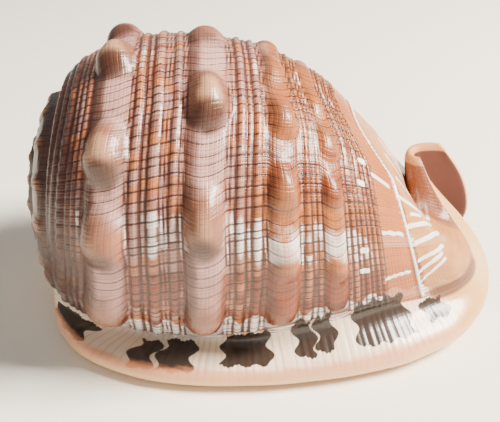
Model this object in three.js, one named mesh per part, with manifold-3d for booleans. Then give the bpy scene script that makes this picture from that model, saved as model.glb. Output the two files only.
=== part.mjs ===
import * as THREE from 'three';
import { mergeVertices } from 'three/addons/utils/BufferGeometryUtils.js';
import Module from 'manifold-3d';

// Helmet shell lying on its mouth. The apex is at -X, the canal at +X, the outer lip at -Y and up is +Z.
// The form is one smooth skin through a net of points: stations run along the back from the apex to the
// canal, and at each station a loop of points runs round the shell, over the back and through the mouth.

// Driving dimensions
const shellLength = 155;        // mm, apex to the far end of the lip
const drawnLength = 169.7;      // mm, the length that the stations below are drawn at
const scale = shellLength / drawnLength;

const backLength = 224;         // mm, along the back from the apex to the rim of the canal
const stationStep = 8;          // between two stations of the net
const stationCount = backLength / stationStep + 1;
const wall = 3.6;               // of the canal
const rimRound = 3;             // how far before its end the canal's wall starts to thin
const rimThin = 0.94;           // how much of that rounding is done where the rim is closed

// The coiled body. Each row: distance along the back, centre line x, height of the back, radii upwards,
// to the lip side, to the far side and downwards, sideways shift, lean of the section in degrees, and
// the angles where the body leaves the lip and the shield (0 is the lip side, 90 is up)
const bodyRows = [
  [0, -78.5, 50, 0, 0, 0, 0, 0, -3, -50, 225],
  [13, -74.5, 61.5, 11.5, 12, 12, 11.5, 0, -3, -50, 225],
  [26, -70.5, 73, 23, 23.5, 23.5, 23, 0, -4, -50, 225],
  [39, -63.5, 84, 34.5, 34.5, 35, 35, 0, -5, -50, 225],
  [52, -54, 92.5, 44, 45, 43.5, 42, 0, -4, -50, 222],
  [66, -41.5, 98, 50.5, 52.5, 50, 45, 0, 0, -52, 220],
  [86, -21.5, 99.8, 53.5, 55, 52, 45.5, 0, 1, -49, 218],
  [110, 2, 96.8, 52.5, 53, 50.5, 44, 0, 2, -37, 218],
  [134, 24.5, 86.5, 47, 46.5, 45, 38, 0, 5, -27, 218],
  [152, 38, 74, 39, 38.5, 38, 32, 0, 11, -25, 218],
  [168, 49.5, 62, 31, 31.5, 31, 27, 0, 20, -31, 218],
  [182, 57, 49.5, 22, 28, 26, 23, 1, 38, -34, 216],
  [194, 61.5, 40, 17, 19, 20, 17, 3, 58, -28, 212],
  [204, 62.5, 34.5, 14, 9, 15, 12, 6, 76, -16, 210],
  [213, 61, 42, 9.5, 8, 13, 12, 10, 88, 2, 214],
  [224, 61, 51, 7, 6, 9, 10, 15, 98, 16, 214],
];

// Outer edge of the lip: distance along the back, x, y, z
const lipRows = [
  [36, -75, -4, 8], [46, -74.5, -17, 6], [54, -70, -32, 4.5], [64, -58.5, -47.5, 4], [76, -39, -58.5, 4],
  [92, -16, -62.5, 4], [112, 10, -62, 4], [134, 34, -58.5, 4], [152, 55, -53, 5], [168, 75, -42, 6.5],
  [182, 88.5, -26, 8.5], [190, 93, -12, 14], [197, 92, -2, 20], [203, 85.5, 2, 29], [210, 75.5, 3, 38],
  [216, 69, 6.5, 44], [224, 64.5, 11, 51],
];

// Outer edge of the shield on the far side: distance along the back, x, y, z
const shieldRows = [
  [36, -75, 12, 8], [46, -72, 26, 8], [56, -62, 43, 9], [70, -44, 55, 11], [92, -12, 61, 12],
  [114, 14, 58, 11], [136, 38, 50, 10], [156, 60, 39, 9], [172, 76, 30, 11], [186, 87, 23, 16],
  [197, 90.5, 19.5, 22], [206, 90.5, 20, 30], [213, 87.5, 21.5, 38], [219, 83, 22.5, 46], [224, 76, 22.5, 52],
];

// The mouth: distance along the back, x and y of its lip side, width, height of its rims,
// then y and z of its inner end
const mouthRows = [
  [36, -70, -1, 4, 4, -2, 5], [50, -62, -7, 6, 2.5, -6, 12], [62, -50, -14, 8, 2.5, -13, 20],
  [78, -32, -20, 9.5, 3, -19, 28], [98, -8, -23, 10.5, 3, -22, 31], [120, 14, -22, 10.5, 3, -21, 30],
  [142, 38, -17, 10.5, 4, -15, 25], [160, 56, -10, 10, 7, -7, 22], [176, 70, -4, 12, 12, -1, 24],
  [224, 70, -4, 12, 12, -1, 24],
];

const lipThickRows = [[36, 6], [60, 9], [150, 9], [180, 7], [205, 5], [224, 4]];
const shieldThickRows = [[36, 5], [60, 6], [150, 6], [190, 5], [224, 4]];

// The loop round the shell: points over the back first, then these, from the far side to the lip side
const domeCount = 10;
const rimNames = ['shieldTop', 'shieldEdgeTop', 'shieldEdgeLow', 'shieldUnder', 'columellaFace',
  'columellaRim', 'slotColumella', 'slotEndFar', 'slotEndNear', 'slotLip', 'lipRim', 'lipFace',
  'lipEdgeLow', 'lipEdgeTop', 'lipTop'];
const innerNames = rimNames.slice(3, 12);
const loopCount = domeCount + rimNames.length;
const lipMid = domeCount + 12.5;        // loop place of the very edge of the lip
const shieldMid = domeCount + 1.5;      // loop place of the very edge of the shield
const outerSpan = loopCount - lipMid + shieldMid;
const innerSpan = lipMid - shieldMid;

// Raised spiral bands, each with the angle and height of its knobs
const bands = [
  { centre: 65.2, width: 12.5, rise: 2, long: 9.5, broad: 7.8,
    knobs: [[-24, 3.5], [9, 4.5], [37, 5.5], [77, 5.6], [112, 5.2], [146, 5], [180, 4.4], [210, 3]] },
  { centre: 94.3, width: 12.5, rise: 2.2, long: 10, broad: 7.8,
    knobs: [[-20, 3], [17, 4.8], [57, 5.8], [95, 3.4], [136, 4.4], [174, 4.4], [208, 3]] },
  { centre: 117.6, width: 10.2, rise: 1.9, long: 7.5, broad: 6,
    knobs: [[-17, 2], [6, 2.6], [30, 3.2], [56, 3], [80, 1.6], [106, 1.8], [132, 2.2], [158, 2.4], [184, 2.2], [208, 2]] },
  { centre: 134.2, width: 7.8, rise: 1.5, long: 6, broad: 4.6,
    knobs: [[3, 1.9], [33, 1.9], [52, 1.4], [70, 1], [118, 1], [142, 1.2], [166, 1.4], [190, 1.4]] },
];
const topShare = 0.4;           // of a band's rise, over the back; the rest is only near the lip

// The wider cords between the bands: distance along the back, width and height
const cords = [
  [50.6, 4.4, 0.7], [73.9, 4.4, 1.2], [79.5, 4, 1.4], [85.1, 3.2, 1.1], [104.9, 3.2, 1.1], [110, 3.2, 1.1],
  [125, 3, 1], [129.2, 2.6, 0.9], [145, 4, 0.8], [151.5, 3.4, 0.7], [164.3, 2.8, 1],
];

// How far the bands and cords lie towards the canal at each angle round the shell, and how much more they
// lean back towards the apex over the top of the front part
const courseRows = [[-50, -2.4], [-28, -1.6], [-5, 0], [20, 0.6], [55, 2.2], [80, 1.5], [100, 0], [225, -2]];
const frontLean = 14;
const spireSpread = 1.7;        // growth of the spire's radius in one turn
const spireReach = 46;          // distance from the apex to the last suture at the lip

// Mesh steps
const lipSteps = 5;             // from the very edge of the lip to the foot of the body
const domeSteps = 42;
const shieldSteps = 5;
const innerSteps = 16;
const spireStations = [0, 4.5, 9.5, 15, 21, 27, 33, 38.5, 44];
const nearestRings = 1.6;       // mm
const canalStations = [172, 179, 186, 192, 198, 204, 210, 216];

function row(rows, along) {
  const last = rows[rows.length - 1];
  if (along >= last[0]) return last.slice(1);
  if (along <= rows[0][0]) return rows[0].slice(1);
  const i = rows.findIndex((r) => r[0] > along);
  const share = (along - rows[i - 1][0]) / (rows[i][0] - rows[i - 1][0]);
  return rows[i].slice(1).map((value, k) => THREE.MathUtils.lerp(rows[i - 1][k + 1], value, share));
}

function smooth(from, to, x) {
  return from < to ? THREE.MathUtils.smoothstep(x, from, to) : 1 - THREE.MathUtils.smoothstep(x, to, from);
}

function mix(a, b, share) {
  return a.clone().lerp(b, share);
}

function vec(x, y, z) {
  return new THREE.Vector3(x, y, z);
}

// A point of the body's section, which is a rounded oval about its own centre
function sectionPoint(body, angle, swell = 1, inset = 0, lowFullness = 2.5) {
  const [x, back, up, near, far, down, shift, lean] = body;
  const [c, s] = [Math.cos(THREE.MathUtils.degToRad(angle)), Math.sin(THREE.MathUtils.degToRad(angle))];
  const power = s > 0 ? 2.1 : lowFullness;
  const across = Math.max(c > 0 ? near : far, 1e-6);
  const rise = Math.max(s > 0 ? up : down, 1e-6);
  const oval = ((Math.abs(c) / across) ** power + (Math.abs(s) / rise) ** power) ** (-1 / power);
  const radius = Math.max(oval * swell - inset, 0);
  const upward = upwardOf(lean);
  return vec(x, shift, back).addScaledVector(upward, radius * s - up).add(vec(0, -radius * c, 0));
}

function upwardOf(lean) {
  const t = THREE.MathUtils.degToRad(lean);
  return vec(-Math.sin(t), 0, Math.cos(t));
}

// Rims, shield, lip and mouth where the shell rests on them
function mouthPoints(along, body, nearGroove, farGroove) {
  const upward = upwardOf(body[7]);
  const lip = vec(...row(lipRows, along));
  const shield = vec(...row(shieldRows, along));
  const [lipThick] = row(lipThickRows, along);
  const [shieldThick] = row(shieldThickRows, along);
  const [mouthX, mouthY, mouthWidth, mouthZ, endY, endZ] = row(mouthRows, along);
  const lipRim = vec(mouthX, mouthY, mouthZ);
  const columellaRim = vec(mouthX, mouthY + mouthWidth, mouthZ);
  const end = vec(mouthX * 0.9 + body[0] * 0.1, endY, endZ);
  const toLip = nearGroove.clone().sub(lip).normalize();
  const toShield = farGroove.clone().sub(shield).normalize();
  const flat = -4.2;          // under the table, so that the skin is cut flat where it rests
  const points = {
    shieldTop: mix(farGroove, shield, 0.5),
    shieldEdgeTop: shield.clone().addScaledVector(toShield, shieldThick * 0.4)
      .addScaledVector(upward, shieldThick * 0.5),
    shieldEdgeLow: shield.clone().addScaledVector(upward, -shieldThick * 0.6).add(vec(0, -shieldThick * 0.4, 0)),
    shieldUnder: mix(shield, columellaRim, 0.33).setZ(shield.z * 0.2 - 0.8),
    columellaFace: mix(shield, columellaRim, 0.72).setZ(flat),
    columellaRim,
    slotColumella: mix(columellaRim, end, 0.5).add(vec(0, 3, 0)),
    slotEndFar: end.clone().add(vec(0, mouthWidth * 0.55, 0)),
    slotEndNear: end.clone().add(vec(0, -mouthWidth * 0.55, 0)),
    slotLip: mix(lipRim, end, 0.5).add(vec(0, -3, 0)),
    lipRim,
    lipFace: mix(lip, lipRim, 0.62).setZ(flat),
    lipEdgeLow: lip.clone().addScaledVector(upward, -lipThick * 0.5).add(vec(0, lipThick * 0.45, 0)),
    lipEdgeTop: lip.clone().addScaledVector(toLip, lipThick * 0.25).addScaledVector(upward, lipThick * 0.42),
    lipTop: mix(nearGroove, lip, 0.5).addScaledVector(upward, lipThick * 0.25),
  };
  return { points, lip, shield, lipThick, shieldThick };
}

// The same points where the shell narrows to an open gutter
function canalPoints(body, swell, rims, nearGroove, farGroove) {
  const { points, lip, shield, lipThick, shieldThick } = rims;
  const [nearAngle, farAngle] = body.slice(8);
  const canal = {
    ...points,
    shieldTop: mix(farGroove, shield, 0.5),
    shieldEdgeTop: shield.clone().add(vec(0, shieldThick * 0.45, 0)),
    shieldEdgeLow: shield.clone().add(vec(0, -shieldThick * 0.45, 0)),
    lipTop: mix(nearGroove, lip, 0.5),
    lipEdgeLow: lip.clone().add(vec(0, lipThick * 0.4, 0)),
    lipEdgeTop: lip.clone().add(vec(0, -lipThick * 0.4, 0)),
  };
  innerNames.forEach((name, i) => {
    const share = i / (innerNames.length - 1);
    const point = sectionPoint(body, THREE.MathUtils.lerp(farAngle, nearAngle, share), swell, wall);
    if (i === 0) point.lerp(shield, 0.55);
    if (i === innerNames.length - 1) point.lerp(lip, 0.55);
    canal[name] = point;
  });
  return canal;
}

// One station of the net: the loop of points round the shell
function station(along) {
  const body = row(bodyRows, along);
  const [nearAngle, farAngle] = body.slice(8);
  const step = (farAngle - nearAngle) / (domeCount - 1);
  const swell = 3 / (2 + Math.cos(THREE.MathUtils.degToRad(step)));   // the skin runs inside its points
  const dome = Array.from({ length: domeCount }, (_, j) => sectionPoint(body, nearAngle + j * step, swell));
  const nearGroove = sectionPoint(body, nearAngle);
  const farGroove = sectionPoint(body, farAngle);
  const rims = mouthPoints(along, body, nearGroove, farGroove);
  const canal = canalPoints(body, swell, rims, nearGroove, farGroove);
  const open = smooth(170, 206, along);
  const rimmed = smooth(36, 50, along);
  const gap = (360 - farAngle + nearAngle) / (rimNames.length + 1);
  return dome.concat(rimNames.map((name, i) => {
    const round = sectionPoint(body, farAngle + gap * (i + 1), swell, 0, 2.1);
    return round.lerp(mix(rims.points[name], canal[name], open), rimmed);
  }));
}

// The skin through the net, a uniform cubic B-spline that closes on itself round the loop
const net = Array.from({ length: stationCount }, (_, i) => station(i * stationStep));
const beyond = (a, b) => a.map((p, j) => p.clone().multiplyScalar(2).sub(b[j]));
const paddedNet = [beyond(net[0], net[1]), ...net, beyond(net[stationCount - 1], net[stationCount - 2])];

function splineWeights(f) {
  const g = 1 - f;
  return [g ** 3, 3 * f ** 3 - 6 * f ** 2 + 4, 3 * g ** 3 - 6 * g ** 2 + 4, f ** 3].map((w) => w / 6);
}

function skin(along, loop) {
  const u = Math.min(along / stationStep, stationCount - 1 - 1e-6);
  const t = THREE.MathUtils.euclideanModulo(loop, loopCount);
  const [i, j] = [Math.floor(u), Math.floor(t)];
  const [stationWeights, loopWeights] = [splineWeights(u - i), splineWeights(t - j)];
  const point = vec(0, 0, 0);
  stationWeights.forEach((a, p) => loopWeights.forEach((b, q) => {
    point.addScaledVector(paddedNet[i + p][(j + q - 1 + loopCount) % loopCount], a * b);
  }));
  return point;
}

// The place on the other side of the wall, which the rounded rim of the canal closes on
function partner(loop) {
  const t = THREE.MathUtils.euclideanModulo(loop, loopCount);
  if (t >= shieldMid && t <= lipMid) return lipMid + outerSpan * (lipMid - t) / innerSpan;
  return lipMid - innerSpan * THREE.MathUtils.euclideanModulo(t - lipMid, loopCount) / outerSpan;
}

function rimmedSkin(along, loop) {
  const share = Math.max(0, (along - backLength + rimRound) / rimRound) * rimThin;
  const thinned = (1 - Math.sqrt(1 - share * share)) / 2;
  return skin(along, loop).lerp(skin(along, partner(loop)), thinned);
}

function skinNormal(along, loop) {
  const small = 0.15;
  const down = skin(along + small, loop).sub(skin(Math.max(along - small, 0), loop));
  const round = skin(along, loop + small / 10).sub(skin(along, loop - small / 10));
  return down.cross(round).normalize();
}

function ridge(offset, width) {
  return Math.max(0, Math.cos(Math.PI * THREE.MathUtils.clamp(offset / width, -0.5, 0.5))) ** 0.75;
}

// Whorls of the spire: a step at each suture and a row of small nodules above it
function spireHeight(along, angle) {
  const turns = Math.log(Math.max(along, 1) / spireReach) / Math.log(spireSpread) + (angle + 50) / 360;
  const place = turns - Math.floor(turns);
  const whorl = Math.sin(Math.PI * Math.min(place / 0.72, 1) * 0.5) * smooth(1, 0.86, place);
  const nodule = ridge(place - 0.7, 0.5) * Math.max(0, Math.cos(THREE.MathUtils.degToRad(angle * 15)));
  return along * (0.06 * whorl + 0.03 * nodule - 0.05);
}

// Distance along the back of the band or cord that passes through a point of the body
function courseOf(along, angle) {
  const [aside] = row(courseRows, angle);
  const lean = frontLean * Math.max(0, (along - 105) / 45) ** 1.5 * smooth(50, 85, angle);
  return along - aside * (1 - 0.8 * smooth(115, 135, along)) + lean;
}

function knobHeight({ long, broad, knobs }, offset, angle) {
  let highest = 0;
  for (const [knobAngle, height] of knobs) {
    const around = THREE.MathUtils.degToRad(angle - knobAngle) * 50;    // mm, on the body's mean radius
    const lipSide = around < 0;
    const share = 1 - (around / (lipSide ? long : long * 1.25)) ** 2 - (offset / broad) ** 2;
    highest = Math.max(highest, height * Math.max(0, share) ** (lipSide ? 1.05 : 1.5));
  }
  return highest;
}

// Height of the bands, knobs and cords over the smooth body
function sculpture(along, loop) {
  if (loop > domeCount - 1) return 0;
  const [nearAngle, farAngle] = row(bodyRows, along).slice(8);
  const angle = THREE.MathUtils.lerp(nearAngle, farAngle, loop / (domeCount - 1));
  const place = courseOf(along, angle);
  const fromLip = loop * 26;    // mm over the body, from its foot at the lip
  let height = 0;
  for (const band of bands) {
    const offset = place - band.centre;
    const share = topShare + (1 - topShare) * smooth(45, 5, angle);
    const ended = smooth(-0.5, 3, fromLip - 4.5 - 5 * (2 * offset / band.width) ** 2);
    height += (band.rise * share * ridge(offset, band.width) + knobHeight(band, offset, angle)) * ended;
  }
  for (const [centre, width, rise] of cords) height += rise * ridge(place - centre, width) * smooth(1, 3.5, fromLip);
  const spire = spireHeight(along, angle) * smooth(48, 38, along);
  const edges = smooth(0, 0.12, loop) * smooth(domeCount - 1, domeCount - 1.35, loop);
  return (height * smooth(38, 48, along) * smooth(190, 180, along) + spire) * edges;
}

function surface(along, loop) {
  const point = rimmedSkin(along, loop);
  const height = sculpture(along, loop);
  if (height) point.addScaledVector(skinNormal(along, loop), height);
  point.z = Math.max(point.z, 0);
  return point.multiplyScalar(scale);
}

// Distances along the back where the mesh has a ring: crests and feet of the bands and cords
function rings() {
  const places = [...spireStations, ...canalStations, backLength - 1.6, backLength];
  for (const { centre, width } of bands) {
    places.push(...[-0.52, -0.28, 0, 0.28, 0.52].map((share) => centre + width * share));
  }
  for (const [centre, width] of cords) places.push(centre - width * 0.5, centre);
  places.sort((a, b) => a - b);
  return places.filter((p, i) => i === 0 || p - places[i - 1] > nearestRings);
}

// The strip that closes the rim of the canal, between two rows of points that run the same way
function stitch(outer, inner) {
  const faces = [];
  let [i, j] = [0, 0];
  while (i < outer.length - 1 || j < inner.length - 1) {
    const outerNext = (i + 1) / (outer.length - 1) <= (j + 1) / (inner.length - 1);
    if (j === inner.length - 1 || (i < outer.length - 1 && outerNext)) {
      faces.push(outer[i + 1], outer[i], inner[j]);
      i += 1;
    } else {
      faces.push(outer[i], inner[j], inner[j + 1]);
      j += 1;
    }
  }
  return faces;
}

function evenly(from, to, steps) {
  return Array.from({ length: steps }, (_, i) => THREE.MathUtils.lerp(from, to, i / steps));
}

// A flat grid bent onto the skin. Its first edge closes at the apex and its last is stitched
function shellGeometry() {
  const ringPlaces = rings();
  const loops = [
    ...evenly(lipMid - loopCount, 0, lipSteps),
    ...evenly(0, domeCount - 1, domeSteps),
    ...evenly(domeCount - 1, shieldMid, shieldSteps),
    ...evenly(shieldMid, lipMid, innerSteps),
    lipMid - loopCount,
  ];
  const columns = loops.length - 1;
  const outerSteps = columns - innerSteps;
  const grid = new THREE.PlaneGeometry(1, 1, columns, ringPlaces.length - 1);
  ringPlaces.forEach((along, r) => loops.forEach((loop, k) => {
    const point = surface(along, along > 0 ? THREE.MathUtils.euclideanModulo(loop, loopCount) : 0);
    grid.attributes.position.setXYZ(r * (columns + 1) + k, ...point.toArray());
  }));
  const lastRow = (ringPlaces.length - 1) * (columns + 1);
  const outer = Array.from({ length: outerSteps + 1 }, (_, k) => lastRow + k);
  const inner = Array.from({ length: innerSteps + 1 }, (_, k) => lastRow + columns - k);
  grid.setIndex([...grid.index.array, ...stitch(outer, inner)]);
  return grid;
}

function closedGeometry(geometry) {
  geometry.deleteAttribute('normal');
  geometry.deleteAttribute('uv');
  const merged = mergeVertices(geometry, 1e-4);
  const faces = [];
  for (let i = 0; i < merged.index.count; i += 3) {
    const [a, b, c] = [0, 1, 2].map((k) => merged.index.getX(i + k));
    if (a !== b && b !== c && c !== a) faces.push(a, b, c);
  }
  merged.setIndex(faces);
  return merged;
}

const wasm = await Module();
wasm.setup();

function toSolid(geometry) {
  const closed = closedGeometry(geometry);
  return new wasm.Manifold(new wasm.Mesh({
    numProp: 3,
    vertProperties: new Float32Array(closed.attributes.position.array),
    triVerts: new Uint32Array(closed.index.array),
  }));
}

function toGeometry(solid) {
  const mesh = solid.getMesh();
  const geometry = new THREE.BufferGeometry();
  geometry.setAttribute('position', new THREE.BufferAttribute(new Float32Array(mesh.vertProperties), 3));
  geometry.setIndex([...mesh.triVerts]);
  return geometry;
}

// Teeth: short ridges that run across a rim of the mouth, fused to the shell
const lipTeeth = { count: 20, from: 66, to: 156, loop: domeCount + 10.2, long: 6, broad: 1.7, deep: 2.2 };
const columellaTeeth = { count: 18, from: 70, to: 154, loop: domeCount + 4.85, long: 7.5, broad: 1.3, deep: 1.7 };
const toothFloor = 0.3;         // the teeth end just above the table

function toothSolids({ count, from, to, loop, long, broad, deep }) {
  return Array.from({ length: count }, (_, i) => {
    const along = THREE.MathUtils.lerp(from, to, i / (count - 1));
    const size = 0.7 + 0.3 * Math.sin(Math.PI * (i + 1) / (count + 1));
    const centre = skin(along, loop);
    const outward = skinNormal(along, loop);
    const across = skin(along, loop + 0.3).sub(skin(along, loop - 0.3)).normalize();
    const side = across.clone().cross(outward).normalize();
    const tooth = new THREE.SphereGeometry(1, 6, 4);
    tooth.scale(broad * size, long * size, deep * size);
    tooth.applyMatrix4(new THREE.Matrix4().makeBasis(side, across, side.clone().cross(across)));
    tooth.translate(...centre.toArray());
    const position = tooth.attributes.position;
    for (let k = 0; k < position.count; k += 1) position.setZ(k, Math.max(position.getZ(k), toothFloor));
    tooth.scale(scale, scale, scale);
    return toSolid(tooth);
  });
}

function helmetShell() {
  let solid = toSolid(shellGeometry());
  for (const tooth of [...toothSolids(lipTeeth), ...toothSolids(columellaTeeth)]) solid = solid.add(tooth);
  const geometry = toGeometry(solid);
  geometry.computeBoundingBox();
  const { min, max } = geometry.boundingBox;
  geometry.translate(-(min.x + max.x) / 2, -(min.y + max.y) / 2, -min.z);
  return geometry;
}

const glazedShell = new THREE.MeshStandardMaterial({ color: 0xc08468, roughness: 0.35, metalness: 0 });
const shell = new THREE.Mesh(helmetShell(), glazedShell);
shell.name = 'helmet_shell';

const part = new THREE.Group();
part.add(shell);
export default part;
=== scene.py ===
import math

import bmesh
import bpy
import numpy as np
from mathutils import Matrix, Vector


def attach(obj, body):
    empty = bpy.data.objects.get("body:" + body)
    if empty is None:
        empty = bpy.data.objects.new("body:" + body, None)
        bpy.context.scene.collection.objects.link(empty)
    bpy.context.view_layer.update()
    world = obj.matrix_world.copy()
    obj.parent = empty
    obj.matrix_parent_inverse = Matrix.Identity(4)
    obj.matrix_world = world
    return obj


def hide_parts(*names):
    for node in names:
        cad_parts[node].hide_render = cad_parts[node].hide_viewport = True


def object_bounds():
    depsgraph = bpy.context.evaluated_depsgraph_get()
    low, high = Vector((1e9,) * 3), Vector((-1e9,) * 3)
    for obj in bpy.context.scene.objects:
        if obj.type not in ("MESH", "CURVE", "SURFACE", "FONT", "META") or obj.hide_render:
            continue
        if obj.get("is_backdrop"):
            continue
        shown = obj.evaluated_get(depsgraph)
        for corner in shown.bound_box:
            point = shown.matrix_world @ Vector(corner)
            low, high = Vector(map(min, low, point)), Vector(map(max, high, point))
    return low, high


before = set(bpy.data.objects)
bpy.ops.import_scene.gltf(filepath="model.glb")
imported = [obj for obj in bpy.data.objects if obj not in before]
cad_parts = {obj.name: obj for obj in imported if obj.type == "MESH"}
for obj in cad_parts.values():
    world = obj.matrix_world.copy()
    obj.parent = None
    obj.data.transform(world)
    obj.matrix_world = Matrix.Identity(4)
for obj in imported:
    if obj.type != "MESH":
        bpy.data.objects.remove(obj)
cadLow, cadHigh = (Vector(corner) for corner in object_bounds())
print("frame loaded")

# The shell is drawn in mm, 169.7 mm long, with the same stations as in the part's source
drawnLength = 169.7
scale = (cadHigh.x - cadLow.x) / drawnLength
shellForm = {
    "backLength": 224,      # along the back, from the apex to the rim of the canal
    "stationStep": 8,       # from one station of the net to the next
    "wall": 3.6,            # of the canal
    "rimRound": 3,          # how far before its end the canal's wall rounds off
    "rimThin": 0.97,        # how far the rounding closes the wall at its end
    "flat": -4.2,           # under the table, so that the skin is cut flat where it rests
}

# Along the back, x, height of the back, radii up, to the lip side, to the far side and down,
# sideways shift, lean, and the angles where the body leaves the lip and the shield
bodyRows = np.array([
    [0, -78.5, 50, 0, 0, 0, 0, 0, -3, -50, 225],
    [13, -74.5, 61.5, 11.5, 12, 12, 11.5, 0, -3, -50, 225],
    [26, -70.5, 73, 23, 23.5, 23.5, 23, 0, -4, -50, 225],
    [39, -63.5, 84, 34.5, 34.5, 35, 35, 0, -5, -50, 225],
    [52, -54, 92.5, 44, 45, 43.5, 42, 0, -4, -50, 222],
    [66, -41.5, 98, 50.5, 52.5, 50, 45, 0, 0, -52, 220],
    [86, -21.5, 99.8, 53.5, 55, 52, 45.5, 0, 1, -49, 218],
    [110, 2, 96.8, 52.5, 53, 50.5, 44, 0, 2, -37, 218],
    [134, 24.5, 86.5, 47, 46.5, 45, 38, 0, 5, -27, 218],
    [152, 38, 74, 39, 38.5, 38, 32, 0, 11, -25, 218],
    [168, 49.5, 62, 31, 31.5, 31, 27, 0, 20, -31, 218],
    [182, 57, 49.5, 22, 28, 26, 23, 1, 38, -34, 216],
    [194, 61.5, 40, 17, 19, 20, 17, 3, 58, -28, 212],
    [204, 62.5, 34.5, 14, 9, 15, 12, 6, 76, -16, 210],
    [213, 61, 42, 9.5, 8, 13, 12, 10, 88, 2, 214],
    [224, 61, 51, 7, 6, 9, 10, 15, 98, 16, 214],
], float)

# Edge of the lip: along the back, x, y, z
lipRows = np.array([
    [36, -75, -4, 8], [46, -74.5, -17, 6], [54, -70, -32, 4.5], [64, -58.5, -47.5, 4], [76, -39, -58.5, 4],
    [92, -16, -62.5, 4], [112, 10, -62, 4], [134, 34, -58.5, 4], [152, 55, -53, 5], [168, 75, -42, 6.5],
    [182, 88.5, -26, 8.5], [190, 93, -12, 14], [197, 92, -2, 20], [203, 85.5, 2, 29], [210, 75.5, 3, 38],
    [216, 69, 6.5, 44], [224, 64.5, 11, 51],
], float)

# Edge of the shield on the far side: along the back, x, y, z
shieldRows = np.array([
    [36, -75, 12, 8], [46, -72, 26, 8], [56, -62, 43, 9], [70, -44, 55, 11], [92, -12, 61, 12],
    [114, 14, 58, 11], [136, 38, 50, 10], [156, 60, 39, 9], [172, 76, 30, 11], [186, 87, 23, 16],
    [197, 90.5, 19.5, 22], [206, 90.5, 20, 30], [213, 87.5, 21.5, 38], [219, 83, 22.5, 46],
    [224, 76, 22.5, 52],
], float)

# The mouth: along the back, x and y of its lip side, width, height of its rims, y and z of its inner end
mouthRows = np.array([
    [36, -70, -1, 4, 4, -2, 5], [50, -62, -7, 6, 2.5, -6, 12], [62, -50, -14, 8, 2.5, -13, 20],
    [78, -32, -20, 9.5, 3, -19, 28], [98, -8, -23, 10.5, 3, -22, 31], [120, 14, -22, 10.5, 3, -21, 30],
    [142, 38, -17, 10.5, 4, -15, 25], [160, 56, -10, 10, 7, -7, 22], [176, 70, -4, 12, 12, -1, 24],
    [224, 70, -4, 12, 12, -1, 24],
], float)
lipThickRows = np.array([[36, 6], [60, 9], [150, 9], [180, 7], [205, 5], [224, 4]], float)
shieldThickRows = np.array([[36, 5], [60, 6], [150, 6], [190, 5], [224, 4]], float)

# The loop round the shell: points over the back, then these, from the far side to the lip side
domeCount = 10
rimNames = [
    "shieldTop", "shieldEdgeTop", "shieldEdgeLow", "shieldUnder", "columellaFace", "columellaRim",
    "slotColumella", "slotEndFar", "slotEndNear", "slotLip", "lipRim", "lipFace", "lipEdgeLow",
    "lipEdgeTop", "lipTop",
]
innerNames = rimNames[3:12]
loopCount = domeCount + len(rimNames)
domeEnd = domeCount - 1
shieldMid = domeCount + 1.5     # place of the very edge of the shield
mouthEnd = domeCount + 7.5      # deepest place in the mouth, where the loop's count starts and ends
lipMid = domeCount + 12.5       # place of the very edge of the lip
outerSpan = loopCount - lipMid + shieldMid
innerSpan = lipMid - shieldMid


def smooth(low, high, x):
    k = np.clip((x - low) / (high - low), 0, 1)
    return k * k * (3 - 2 * k)


def mix(a, b, share):
    return a * (1 - share) + b * share


def rowAt(rows, along):
    return np.array([np.interp(along, rows[:, 0], rows[:, c]) for c in range(1, rows.shape[1])])


def upwardOf(lean):
    return np.array([-math.sin(math.radians(lean)), 0, math.cos(math.radians(lean))])


def sectionPoint(body, angle, swell=1.0, inset=0.0, lowFullness=2.5):
    x, back, up, near, far, down, shift, lean = body[:8]
    c, s = math.cos(math.radians(angle)), math.sin(math.radians(angle))
    power = 2.1 if s > 0 else lowFullness
    across = max(near if c > 0 else far, 1e-6)
    rise = max(up if s > 0 else down, 1e-6)
    oval = ((abs(c) / across) ** power + (abs(s) / rise) ** power) ** (-1 / power)
    radius = max(oval * swell - inset, 0)
    return np.array([x, shift, back]) + upwardOf(lean) * (radius * s - up) + np.array([0, -radius * c, 0])


def toward(start, end):
    way = end - start
    return way / (np.linalg.norm(way) + 1e-9)


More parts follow.
